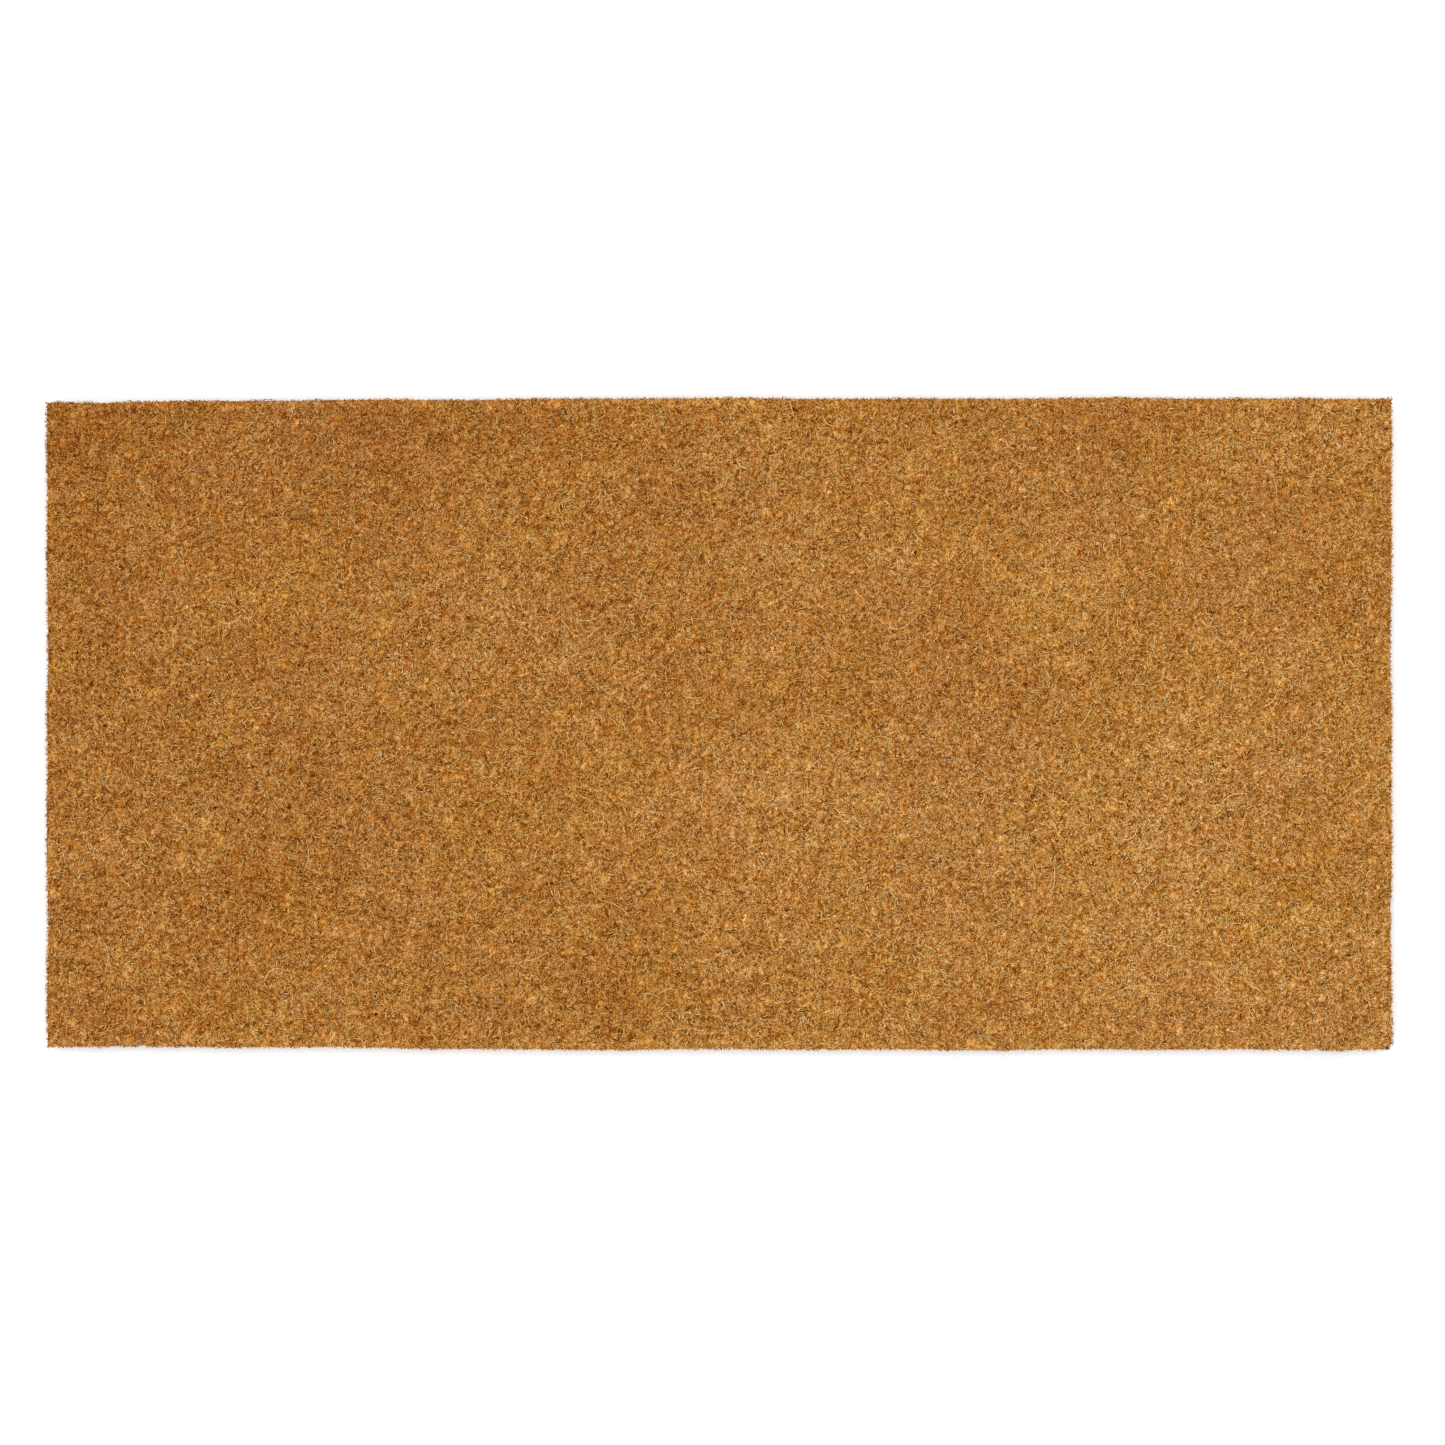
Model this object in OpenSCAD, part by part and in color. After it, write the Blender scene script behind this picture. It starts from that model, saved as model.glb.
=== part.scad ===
// Door mat: rows of cut coir tufts rooted in a flat PVC backing sheet.
//
// Frame: the origin is the centre of the underside, which lies on the floor. +X runs along the
// mat's length, across the rows of tufts, +Y runs along its width, along the rows, and +Z is up
// through the pile. All sizes are in millimetres.

/* [Mat] */
// Length of the mat, across the rows of tufts
mat_length = 900; // [450:5:1200]
// Width of the mat, along the rows of tufts
mat_width = 435; // [300:5:1000]

/* [Backing] */
// Thickness of the PVC sheet
backing_thickness = 3; // [2:0.25:5]
// PVC left between the roots of the tufts and the underside
root_floor = 1; // [0.5:0.25:1.5]

/* [Pile] */
// Height of the sheared pile above the backing
pile_height = 14; // [8:0.5:25]
// Spacing aimed at from one row of tufts to the next
row_pitch = 6.25; // [5:0.25:8]
// Width of a row at the bottom of its roots
root_width = 2; // [1:0.25:3]
// Gap left between the tops of neighbouring rows
row_gap = 0.3; // [0.1:0.05:1]
// Clearance from the roots to each wall of their groove
root_clearance = 0.05; // [0.02:0.01:0.1]

/* [Colours] */
// Natural coconut fibre
coir_colour = [0.67, 0.46, 0.23];
// Charcoal PVC
pvc_colour = [0.17, 0.16, 0.15];

/* [Hidden] */
// The rows are spread evenly, so that the first and the last end flush with the cut edges.
row_count = round(mat_length / row_pitch);
row_step = mat_length / row_count;
// The rows are handled in groups of neighbours, which share them as evenly as whole rows allow.
group_count = 48;
mat_thickness = backing_thickness + pile_height;
row_top_width = row_step - row_gap;

function row_x(row) = (row + 0.5) * row_step - mat_length / 2;

// Width of a row at height z: the tufts spread evenly from their roots to the sheared top.
function row_width(z) =
    root_width + (row_top_width - root_width) * (z - root_floor) / (mat_thickness - root_floor);

// Outline of one groove in the backing, from its right lip down and up to its left lip.
function groove(row) =
    let (lip = row_width(backing_thickness) / 2 + root_clearance)
    let (foot = root_width / 2 + root_clearance)
    [
        [row_x(row) + lip, backing_thickness],
        [row_x(row) + foot, root_floor],
        [row_x(row) - foot, root_floor],
        [row_x(row) - lip, backing_thickness]
    ];

// First row of a group, with rows and groups counted from 0.
function first_row(group) = floor(group * row_count / group_count);

function group_name(group) = str("tuft_rows_", group < 9 ? "0" : "", group + 1);

// Carries an outline drawn in X and Z across the whole width of the mat.
module across_mat() {
    rotate([90, 0, 0]) linear_extrude(mat_width, center = true) children();
}

// The PVC sheet: flat underneath, with one groove in its upper face for the roots of each row.
module backing() {
    grooves = [for (row = [row_count - 1 : -1 : 0]) each groove(row)];
    underside = [[-mat_length / 2, 0], [mat_length / 2, 0]];
    right_edge = [[mat_length / 2, backing_thickness]];
    left_edge = [[-mat_length / 2, backing_thickness]];
    color(pvc_colour)
        across_mat() polygon(concat(underside, right_edge, grooves, left_edge));
}

// One row of tufts: narrow roots standing on the floor of their groove, spreading to the top.
module tuft_row(row) {
    root = root_width / 2;
    top = row_top_width / 2;
    color(coir_colour)
        translate([row_x(row), 0, 0])
            across_mat()
                polygon([
                    [-root, root_floor],
                    [root, root_floor],
                    [top, mat_thickness],
                    [-top, mat_thickness]
                ]);
}

// Neighbouring rows that share a node, each a separate solid.
module tuft_rows(group) {
    for (row = [first_row(group) : first_row(group + 1) - 1]) tuft_row(row);
}

backing();
for (group = [0 : group_count - 1])
    tuft_rows(group);
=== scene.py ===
"""The looks of a coir door mat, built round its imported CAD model.

The mat is a PVC sheet with 144 rows of tufts rooted in it. Each tuft is a bundle of cut coconut
fibre that spreads from its root and is sheared level at the top. The pile is made fibre by
fibre, row by row, over a solid core that stands for the packed fibres below the surface.
Lengths are metres, or millimetres times MM.
"""

import math

import bpy
import numpy as np
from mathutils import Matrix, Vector


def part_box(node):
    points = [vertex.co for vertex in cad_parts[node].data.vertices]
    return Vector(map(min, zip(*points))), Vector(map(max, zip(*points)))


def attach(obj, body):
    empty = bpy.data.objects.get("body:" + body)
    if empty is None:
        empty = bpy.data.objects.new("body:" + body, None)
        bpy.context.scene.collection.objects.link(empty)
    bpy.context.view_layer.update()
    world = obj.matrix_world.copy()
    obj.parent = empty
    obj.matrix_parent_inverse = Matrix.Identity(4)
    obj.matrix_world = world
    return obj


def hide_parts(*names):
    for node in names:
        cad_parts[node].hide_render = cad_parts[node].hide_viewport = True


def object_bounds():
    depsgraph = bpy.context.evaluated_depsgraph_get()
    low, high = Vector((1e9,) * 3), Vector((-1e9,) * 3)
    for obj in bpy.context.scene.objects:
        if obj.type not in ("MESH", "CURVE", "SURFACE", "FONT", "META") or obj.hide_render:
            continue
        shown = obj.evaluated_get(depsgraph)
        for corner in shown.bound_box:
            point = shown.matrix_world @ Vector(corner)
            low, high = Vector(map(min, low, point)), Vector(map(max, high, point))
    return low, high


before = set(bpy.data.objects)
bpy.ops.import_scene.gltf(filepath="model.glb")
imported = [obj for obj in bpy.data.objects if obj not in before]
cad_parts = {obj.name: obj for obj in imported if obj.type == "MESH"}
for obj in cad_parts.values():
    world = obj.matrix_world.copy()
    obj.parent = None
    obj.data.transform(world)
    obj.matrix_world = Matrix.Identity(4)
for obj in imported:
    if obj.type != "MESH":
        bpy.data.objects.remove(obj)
CAD_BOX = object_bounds()

MM = 0.001

# ---------------------------------------------------------------- sizes, from the frame
BACKING_LOW, BACKING_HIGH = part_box("backing")
MAT_LENGTH = BACKING_HIGH.x - BACKING_LOW.x
MAT_WIDTH = BACKING_HIGH.y - BACKING_LOW.y
BACKING_TOP = BACKING_HIGH.z
PILE_TOP = CAD_BOX[1].z
GROUPS = sorted(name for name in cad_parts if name.startswith("tuft_rows_"))
ROOT_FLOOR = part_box(GROUPS[0])[0].z
ROWS_IN_GROUP = 3
GROUPS_IN_PIECE = 2
ROWS = ROWS_IN_GROUP * len(GROUPS)
ROW_PITCH = MAT_LENGTH / ROWS
TUFTS = 62  # in a row
TUFT_PITCH = MAT_WIDTH / TUFTS
ROOT_WIDTH = 2 * MM
ROOT_CLEARANCE = 0.05 * MM  # between a root and each side of its groove
ROW_GAP = 0.3 * MM  # between neighbouring rows at the top

BENT_LOCKS, IN_BENT = 3, 3  # locks of bent fibres at the top of each tuft, and fibres in a lock
STRAIGHT_LOCKS, IN_STRAIGHT = 9, 2  # the same for the straight fibres round and under them
SPLAY = 2.6 * MM  # the unit of how far fibres lean out past the cut edge
rng = np.random.default_rng(20)


# ---------------------------------------------------------------- meshes
def new_piece(name, vertices, faces, uv, finishes, face_finish=None, **values):
    """A mesh from arrays, smooth-shaded, at the origin.

    vertices is (n, 3), faces a list of index arrays (faces, corners) and uv the matching list of
    (faces, corners, 2). finishes are its materials, face_finish the slot of each face, and
    values are numbers to store on each vertex.
    """
    mesh = bpy.data.meshes.new(name)
    corners = np.concatenate([f.reshape(-1) for f in faces])
    sizes = np.concatenate([np.full(len(f), f.shape[1]) for f in faces])
    starts = np.concatenate([[0], np.cumsum(sizes)[:-1]])
    mesh.vertices.add(len(vertices))
    mesh.vertices.foreach_set("co", vertices.astype(np.float32).ravel())
    mesh.loops.add(len(corners))
    mesh.loops.foreach_set("vertex_index", corners.astype(np.int32))
    mesh.polygons.add(len(sizes))
    mesh.polygons.foreach_set("loop_start", starts.astype(np.int32))
    if face_finish is not None:
        mesh.polygons.foreach_set("material_index", face_finish.astype(np.int32))
    mesh.update(calc_edges=True)
    mesh.shade_smooth()
    layer = mesh.uv_layers.new(name="OFBake")
    flat = np.concatenate([u.reshape(-1, 2) for u in uv])
    layer.uv.foreach_set("vector", flat.astype(np.float32).ravel())
    for key, numbers in values.items():
        stored = mesh.attributes.new(key, "FLOAT", "POINT")
        stored.data.foreach_set("value", numbers.astype(np.float32))
    for finish in finishes:
        mesh.materials.append(finish)
    piece = bpy.data.objects.new(name, mesh)
    bpy.context.scene.collection.objects.link(piece)
    return piece


def unit(v):
    """Each vector divided by its length."""
    return v / np.maximum(np.linalg.norm(v, axis=-1, keepdims=True), 1e-12)


def smooth_step(t):
    """0 below 0, 1 above 1, and 3t^2 - 2t^3 between."""
    t = np.clip(t, 0, 1)
    return t * t * (3 - 2 * t)


# ---------------------------------------------------------------- the mat's outline
NARROW_END = 2.2 * MM  # how far each long edge has drawn in at the -X end
NARROW_FROM = 0.08  # how far from the middle that begins, in half lengths
EDGE_WANDER = 0.25 * MM  # the height of each of the sines by which the edges wander
EDGE_BAND = 20 * MM  # how far in from a long edge a bare spot is felt
BARE_LIP = 1.5 * MM  # how far the PVC stands out where it is bare
BARE_BACK_X, BARE_BACK_Y = 1.0 * MM, 5.0 * MM  # how far the pile draws back where it is bare
# Spots on the long edges where the PVC is bare: where along X and on which edge, in half lengths,
# how far the spot reaches in millimetres, and how bare its middle is.
BARE_SPOTS = [(1, -1, 11, 1.0), (0.95, -1, 4, 0.5), (0.89, -1, 3, 0.45), (-0.9, -1, 4, 0.5)]
BARE_SPOTS += [(-0.86, -1, 3, 0.45), (-1, 1, 6, 0.6), (-0.965, 1, 5, 0.5), (-0.92, 1, 8, 0.5)]


def bareness(x, y):
    """1 in the middle of a full bare spot, 0 past its reach and away from its edge."""
    bare = np.zeros(np.broadcast(x, y).shape)
    for across, up, reach, depth in BARE_SPOTS:
        away = np.abs(x - across * MAT_LENGTH / 2) / (reach * MM)
        near = y * up > MAT_WIDTH / 2 - EDGE_BAND
        bare = np.maximum(bare, depth * near * (1 - smooth_step(away)))
    return bare


def shaped(points):
    """Moves points from the exact rectangle to the mat's own outline.

    Y is scaled so that each long edge draws in by NARROW_END towards the -X end along a smooth
    step, and every edge wanders by two sines of unrelated lengths and stands out by BARE_LIP at
    bare spots. A point moves in proportion to its distance from the middle, so that rows and
    backing stay together.
    """
    x, y, z = points[..., 0], points[..., 1], points[..., 2]
    along, across = x / (MAT_LENGTH / 2), y / (MAT_WIDTH / 2)
    drawn_in = NARROW_END * smooth_step((-along - NARROW_FROM) / (1 - NARROW_FROM))
    side, bare = np.sign(across), np.minimum(2 * bareness(x, y), 1)
    wander_y = EDGE_WANDER * (np.sin(23 * x + 2 * side) + np.sin(51 * x + side))
    wander_x = EDGE_WANDER * (np.sin(31 * y + 3 * np.sign(along)) + np.sin(67 * y + 1))
    x = x + along * (wander_x + BARE_LIP * bareness(x, y) ** 2)
    return np.stack([x, y + across * (wander_y - drawn_in + BARE_LIP * bare), z], -1)


# ---------------------------------------------------------------- fibres
# A fibre is a thin closed spike: one point at its root, then a ring of three at its knee if it is
# bent, then a ring of three at its cut tip, closed by a cap. Vertices are numbered in that order.
BENT_FACES = [
    np.array([[0, 2, 1], [0, 3, 2], [0, 1, 3]]),
    np.array([[1, 2, 5, 4], [2, 3, 6, 5], [3, 1, 4, 6]]),
    np.array([[4, 5, 6]]),
]
STRAIGHT_FACES = [np.array([[0, 2, 1], [0, 3, 2], [0, 1, 3], [1, 2, 3]])]
# The place of each vertex in the fibre's own cell of the map, and its share of the fibre's length
# from the root, by which it gets lighter: painted shade, darker and redder deep in the pile.
BENT_UV = np.array(
    [[0.06, 0.5], [0.5, 0.1], [0.5, 0.5], [0.5, 0.9], [0.92, 0.1], [0.78, 0.5], [0.92, 0.9]]
)
STRAIGHT_UV = np.array([[0.06, 0.5], [0.92, 0.1], [0.76, 0.5], [0.92, 0.9]])
BENT_ALONG = [0, 0.5, 0.5, 0.5, 1, 1, 1]
STRAIGHT_ALONG = [0, 0.9, 0.9, 0.9]
TIP_TAPER = 0.85  # a bent fibre's radius at the tip, as a share of that at its knee


def ring(centre, direction, radius):
    """Three points round a centre, square to a direction: centre + radius (a cos t + b sin t)."""
    helper = np.where(np.abs(direction[..., 2:]) < 0.9, [0, 0, 1.0], [1.0, 0, 0])
    a = unit(np.cross(direction, helper))
    b = np.cross(direction, a)
    turn = 2 * np.pi * np.arange(3) / 3
    across = np.cos(turn)[:, None] * a[..., None, :] + np.sin(turn)[:, None] * b[..., None, :]
    return centre[..., None, :] + radius[..., None, None] * across


def straight_spikes(root, tip, radius):
    """Vertices (n, 4, 3) of n straight fibres, from their points (n, 3) and radius (n)."""
    return np.concatenate([root[:, None, :], ring(tip, unit(tip - root), radius)], axis=1)


def bent_spikes(root, knee, tip, radius):
    """Vertices (n, 7, 3) of n bent fibres, from their points (n, 3) and radius (n)."""
    lower, upper = unit(knee - root), unit(tip - knee)
    return np.concatenate(
        [
            root[:, None, :],
            ring(knee, unit(lower + upper), radius),
            ring(tip, upper, TIP_TAPER * radius),
        ],
        axis=1,
    )


def cells(count, low, high, columns):
    """The map's cells for count fibres: lowest corners (count, 2) and one cell's size.

    They fill the rectangle from low to high row by row, with columns in each row.
    """
    lines = math.ceil(count / columns)
    size = (np.array(high) - low) / [columns, lines]
    place = np.stack([np.arange(count) % columns, np.arange(count) // columns], -1)
    return low + place * size, size


def spike_faces(shapes, places, first, corner, size):
    """Faces of the fibres whose cells start at corner (n, 2), and their places on the map.

    shapes are the faces of one fibre, places its vertices' places in a cell, and first the number
    of the first fibre's first vertex.
    """
    start = first + len(places) * np.arange(len(corner))[:, None, None]
    faces, uv = [], []
    for shape in shapes:
        faces.append((start + shape).reshape(-1, shape.shape[1]))
        place = corner[:, None, None, :] + places[shape] * size
        uv.append(place.reshape(-1, shape.shape[1], 2))
    return faces, uv


# ---------------------------------------------------------------- where the tufts stand
TUFT_STRAY_X, TUFT_STRAY_Y = 0.65 * MM, 0.8 * MM  # how far a tuft is usually out of place
TUFT_RISE = 0.22 * MM  # how far its top usually is from the pile's
USUAL_GAP, USUAL_FOUR = 0.62 * MM, 0.54 * MM  # gaps between two tufts of a row, and among four
FOUR_STRAY_X, FOUR_STRAY_Y = 1.0 * MM, 1.3 * MM  # how far gaps among four are out of place
WIDEST_GAP = 1.9 * MM


def tuft_centres():
    """X and Y of every tuft, (rows, tufts).

    Rows are ROW_PITCH apart. Along a row the tufts are TUFT_PITCH apart from a start that drifts
    from row to row, and each is a little out of place.
    """
    row = np.arange(ROWS)[:, None]
    tuft = np.arange(TUFTS)[None, :]
    drift = 0.3 * np.sin(0.9 * row) + rng.uniform(-0.2, 0.2, (ROWS, 1))
    x = (row + 0.5) * ROW_PITCH - MAT_LENGTH / 2 + rng.normal(0, TUFT_STRAY_X, (ROWS, TUFTS))
    y = (tuft + 0.5 + drift) * TUFT_PITCH - MAT_WIDTH / 2
    y = y + rng.normal(0, TUFT_STRAY_Y, (ROWS, TUFTS))
    edge = MAT_WIDTH / 2 - 0.3 * TUFT_PITCH
    return x, np.sort(np.clip(y, -edge, edge), axis=1)


tuft_x, tuft_y = tuft_centres()
tuft_tone = rng.normal(0, 1, (ROWS, TUFTS))
tuft_rise = rng.normal(0, TUFT_RISE, (ROWS, TUFTS))


def pits(x, y, usual):
    """Radii of the small dark gaps at x, y where tufts part: mostly narrow, up to WIDEST_GAP.

    A product of two sines makes them wider in patches, and all are wider towards the -X end.
    """
    wider = 1 + 0.45 * np.sin(11 * x + 2) * np.sin(17 * y - 1) - 0.6 * (x / MAT_LENGTH)
    return np.minimum(rng.gamma(0.8, usual, x.shape) * wider, WIDEST_GAP)


def middles(a):
    """The values halfway between neighbours along the last axis, and half a step past each end."""
    inner = (a[:, 1:] + a[:, :-1]) / 2
    return np.concatenate([2 * a[:, :1] - inner[:, :1], inner, 2 * a[:, -1:] - inner[:, -1:]], 1)


# Gaps between neighbours in a row, and gaps where four tufts meet, with a row of them at each end.
gap_x, gap_y = middles(tuft_x), middles(tuft_y)
gap_radius = pits(gap_x, gap_y, USUAL_GAP)
four_x = np.concatenate([gap_x - ROW_PITCH / 2, gap_x[-1:] + ROW_PITCH / 2])
four_x = four_x + rng.normal(0, FOUR_STRAY_X, four_x.shape)
four_y = np.concatenate([gap_y, gap_y[-1:]]) + rng.normal(0, FOUR_STRAY_Y, four_x.shape)
four_radius = pits(four_x, four_y, USUAL_FOUR)


def parted(x, y):
    """Points of the tufts' fibres, (rows, tufts, count), pushed out of the gaps round their tuft.

    A point inside a gap moves straight out from the gap's middle, to 0.7 of the gap's radius plus
    0.3 of the distance that it had.
    """
    around = [(four_x, four_y, four_radius, a, b) for a in (0, 1) for b in (0, 1)]
    around += [(gap_x, gap_y, gap_radius, 0, b) for b in (0, 1)]
    for middle_x, middle_y, radius, a, b in around:
        near = (slice(a, a + ROWS), slice(b, b + TUFTS), None)
        dx, dy = x - middle_x[near], y - middle_y[near]
        away = np.hypot(dx, dy) + 1e-9
        push = np.maximum(radius[near] * (0.7 + 0.3 * away / (radius[near] + 1e-9)) / away, 1)
        x, y = middle_x[near] + dx * push, middle_y[near] + dy * push
    return x, y


def drawn_back(x, y):
    """How far the pile has drawn back along X and along Y where the PVC is bare."""
    bare = bareness(x, y)
    return BARE_BACK_X * bare**2, BARE_BACK_Y * bare


SPLAYED_BAND = 4 * MM  # how far inside the cut edges the pile starts to splay
PAST_EDGE = (0.4, 0.7)  # the least and the most that fibres may pass the cut edge by, in SPLAY


def edge_share(v, across):
    """1 at the cut edges of a mat so far across, and 0 from SPLAYED_BAND inside them.

    Between, it is a smooth step of the distance.
    """
    return smooth_step(1 + (np.abs(v) - across / 2) / SPLAYED_BAND)


def kept_in(x, y, z):
    """Points held within PAST_EDGE of the cut edge, and drawn back where the PVC shows."""
    back_x, back_y = drawn_back(x, y)
    reach_x = MAT_LENGTH / 2 + rng.uniform(*PAST_EDGE, x.shape) * SPLAY - back_x
    reach_y = MAT_WIDTH / 2 + rng.uniform(*PAST_EDGE, x.shape) * SPLAY - back_y
    return np.stack([np.clip(x, -reach_x, reach_x), np.clip(y, -reach_y, reach_y), z], -1)


BENT_REACH, STRAIGHT_REACH = 0.55, 0.57  # how far from a tuft's centre its locks lie, in pitches
LOCK_SPREAD = 0.35 * MM  # how far fibres usually lie from their lock's middle
LOCK_TURN, FIBRE_TURN = 1.5, 0.25  # usual turns in radians, of a lock and of a fibre in it
TUFT_TONE, TONE_SPREAD = 0.05, 0.19  # usual differences in tone, of tufts, and of locks and fibres


def locks(count, each, share):
    """Fibres in locks that lie together, as arrays (rows, tufts, fibres).

    Each tuft has count locks of each fibres. A lock's middle is anywhere in a rectangle share
    pitches to each side of the tuft's centre. It leans outwards, give or take a wide turn, and
    its fibres keep near its place, heading and tone. Returns their offsets from the tuft's
    centre, how far out the lock is from 0 to 1, and their headings and tones.
    """
    u, v = rng.uniform(-1, 1, (2, ROWS, TUFTS, count))
    heading = np.arctan2(v, u) + rng.normal(0, LOCK_TURN, u.shape)
    tone = 0.5 + TUFT_TONE * tuft_tone[..., None] + rng.normal(0, TONE_SPREAD, u.shape)
    u, v, heading, tone = (np.repeat(a, each, axis=2) for a in (u, v, heading, tone))
    dx = share * ROW_PITCH * u + rng.normal(0, LOCK_SPREAD, u.shape)
    dy = share * TUFT_PITCH * v + rng.normal(0, LOCK_SPREAD, u.shape)
    heading = heading + rng.normal(0, FIBRE_TURN, u.shape)
    tone = np.clip(tone + rng.normal(0, TONE_SPREAD, u.shape), 0, 1)
    return dx, dy, np.maximum(np.abs(u), np.abs(v)), heading, tone


def strokes(dx, dy, heading, stroke, climb, top, depth):
    """Root, knee and tip (rows, tufts, count, 3) of fibres.

    The knee is at dx, dy from the tuft's centre. The stroke from it to the tip goes off in its
    heading and climbs at the angle climb to the height top. The root is under the knee by
    depth, and half as far from the centre.
    """
    run, knee_z = stroke * np.cos(climb), top - stroke * np.sin(climb)
    x, y = tuft_x[..., None] + dx, tuft_y[..., None] + dy
    root = kept_in(x - 0.5 * dx, y - 0.5 * dy, knee_z - depth)
    knee = kept_in(*parted(x, y), knee_z)
    tip = kept_in(*parted(x + run * np.cos(heading), y + run * np.sin(heading)), top)
    return root, knee, tip


def bent_fibres():
    """The fibres that show most, short bent strokes: root, knee and tip, and tones.

    A stroke is usually about 3 mm long. The tops sink a little towards the tuft's outside, by a
    fourth power, and the higher a fibre ends the lighter it is, as painted light on the pile's top.
    """
    dx, dy, out, heading, tone = locks(BENT_LOCKS, IN_BENT, BENT_REACH)
    shape = out.shape
    stroke = rng.gamma(7, 0.46 * MM, shape)
    climb = np.radians(rng.triangular(3, 16, 65, shape))
    rise = tuft_rise[..., None] + rng.normal(0, 0.35 * MM, shape)
    top = PILE_TOP - 0.2 * MM * out**4 + rise
    points = strokes(dx, dy, heading, stroke, climb, top, rng.uniform(3.0, 5.5, shape) * MM)
    # painted light: a fibre that ends higher gets a lighter tone
    return points, np.clip(tone + 0.25 * rise / MM, 0, 1)


def straight_fibres():
    """The fibres round and under those, each one stroke from deeper in: root and tip, and tones
    darkened by painted shade the lower they end.
    """
    dx, dy, _, heading, tone = locks(STRAIGHT_LOCKS, IN_STRAIGHT, STRAIGHT_REACH)
    shape = tone.shape
    stroke = rng.uniform(2.5, 5.0, shape) * MM
    climb = np.radians(rng.triangular(12, 35, 80, shape))
    rise = tuft_rise[..., None] - rng.uniform(0.1, 1.6, shape) * MM
    # painted shade: a fibre that ends lower gets a darker tone
    top, tone = PILE_TOP + rise, np.clip(tone + 0.1 + 0.15 * rise / MM, 0, 1)
    run = stroke * np.cos(climb)
    x, y = tuft_x[..., None] + dx, tuft_y[..., None] + dy
    back_x, back_y = 0.6 * run * np.cos(heading), 0.6 * run * np.sin(heading)
    root = kept_in(x - back_x, y - back_y, top - stroke * np.sin(climb))
    return (root, kept_in(*parted(x + back_x / 1.5, y + back_y / 1.5), top)), tone


(bent_points, bent_tone), (straight_points, straight_tone) = bent_fibres(), straight_fibres()
bent_radius = rng.uniform(0.20, 0.32, bent_tone.shape) * MM
straight_radius = rng.uniform(0.24, 0.40, straight_tone.shape) * MM

SIDE_FIBRES = 26  # that show along the cut edge, for each row's end or tuft's flank
SIDE_DEPTH = 2.2 * MM  # how far inside the cut edge they may stand
SIDE_ROOT_IN = 0.35 * MM  # how much further in their roots are
SIDE_LOWEST_TOP = 7 * MM  # how far below the pile's top the lowest of them ends
SIDE_SPLAY = 0.5 * SPLAY  # how far they lean out with the rest of the pile at the edge
FAN_WIDTHS = (0.16, 0.30, 0.52)  # of a fan at its root, knee and tip, each way, in pitches


def side_fans(row):
    """The fans of fibres at a row's edges.

    Every row has one at each end, and the first and the last row one at each tuft along their
    outer flank. Each fan is its middle along the edge, its fibres' places beside that, where the
    edge is, how far in its fibres stand from 0 to 1, and whether it is on a short edge.
    """
    centre = (row + 0.5) * ROW_PITCH - MAT_LENGTH / 2
    beside = rng.uniform(-1, 1, (2, SIDE_FIBRES)) * ROW_PITCH
    inside = rng.uniform(0, 1, (2, SIDE_FIBRES)) ** 1.5
    fans = [(centre, beside[0], -MAT_WIDTH / 2, inside[0], False)]
    fans += [(centre, beside[1], MAT_WIDTH / 2, inside[1], False)]
    if row in (0, ROWS - 1):
        edge = MAT_LENGTH / 2 * (-1 if row == 0 else 1)
        for y in tuft_y[row]:
            beside = rng.uniform(-1, 1, SIDE_FIBRES) * TUFT_PITCH
            inside = rng.uniform(0, 1, SIDE_FIBRES) ** 1.5
            fans.append((y, beside, edge, inside, True))
    return fans


def side_fibres(row):
    """Root, knee and tip of the fibres that show along the mat's edges beside one row.

    They spread from the roots at the backing to the full width of the row or tuft at the top,
    where they lean out a little. Where the PVC is bare they stand back with the pile.
    """
    parts = [], [], []
    for middle, beside, edge, inside, on_short_edge in side_fans(row):
        side, count = np.sign(edge), SIDE_FIBRES
        lean = side * rng.uniform(-0.15, 0.2, count) * SPLAY
        bow = side * rng.uniform(-0.2, 0.5, count) * MM
        top = PILE_TOP - rng.uniform(0, 1, count) ** 2 * SIDE_LOWEST_TOP
        bottom = BACKING_TOP - 0.6 * MM + rng.uniform(0, 3, count) * MM
        stand = edge - side * inside * SIDE_DEPTH
        outs = (stand - side * SIDE_ROOT_IN, stand + bow, stand + lean)
        heights = (bottom, 0.45 * bottom + 0.55 * top, top)
        for made, width, out, up in zip(parts, FAN_WIDTHS, outs, heights):
            along = middle + width * beside
            made.append(np.stack([out, along, up] if on_short_edge else [along, out, up], -1))
    root, knee, tip = (np.concatenate(part) for part in parts)
    near = edge_share(tip, np.array([MAT_LENGTH, MAT_WIDTH, 1]))
    out = np.sign(tip) * near * SIDE_SPLAY * [1, 1, 0]
    knee, tip = knee + 0.4 * out, tip + out
    back = np.stack([*drawn_back(tip[:, 0], tip[:, 1]), np.zeros(len(tip))], -1) * np.sign(tip)
    return root - 0.9 * back, knee - back, tip - back


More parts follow.
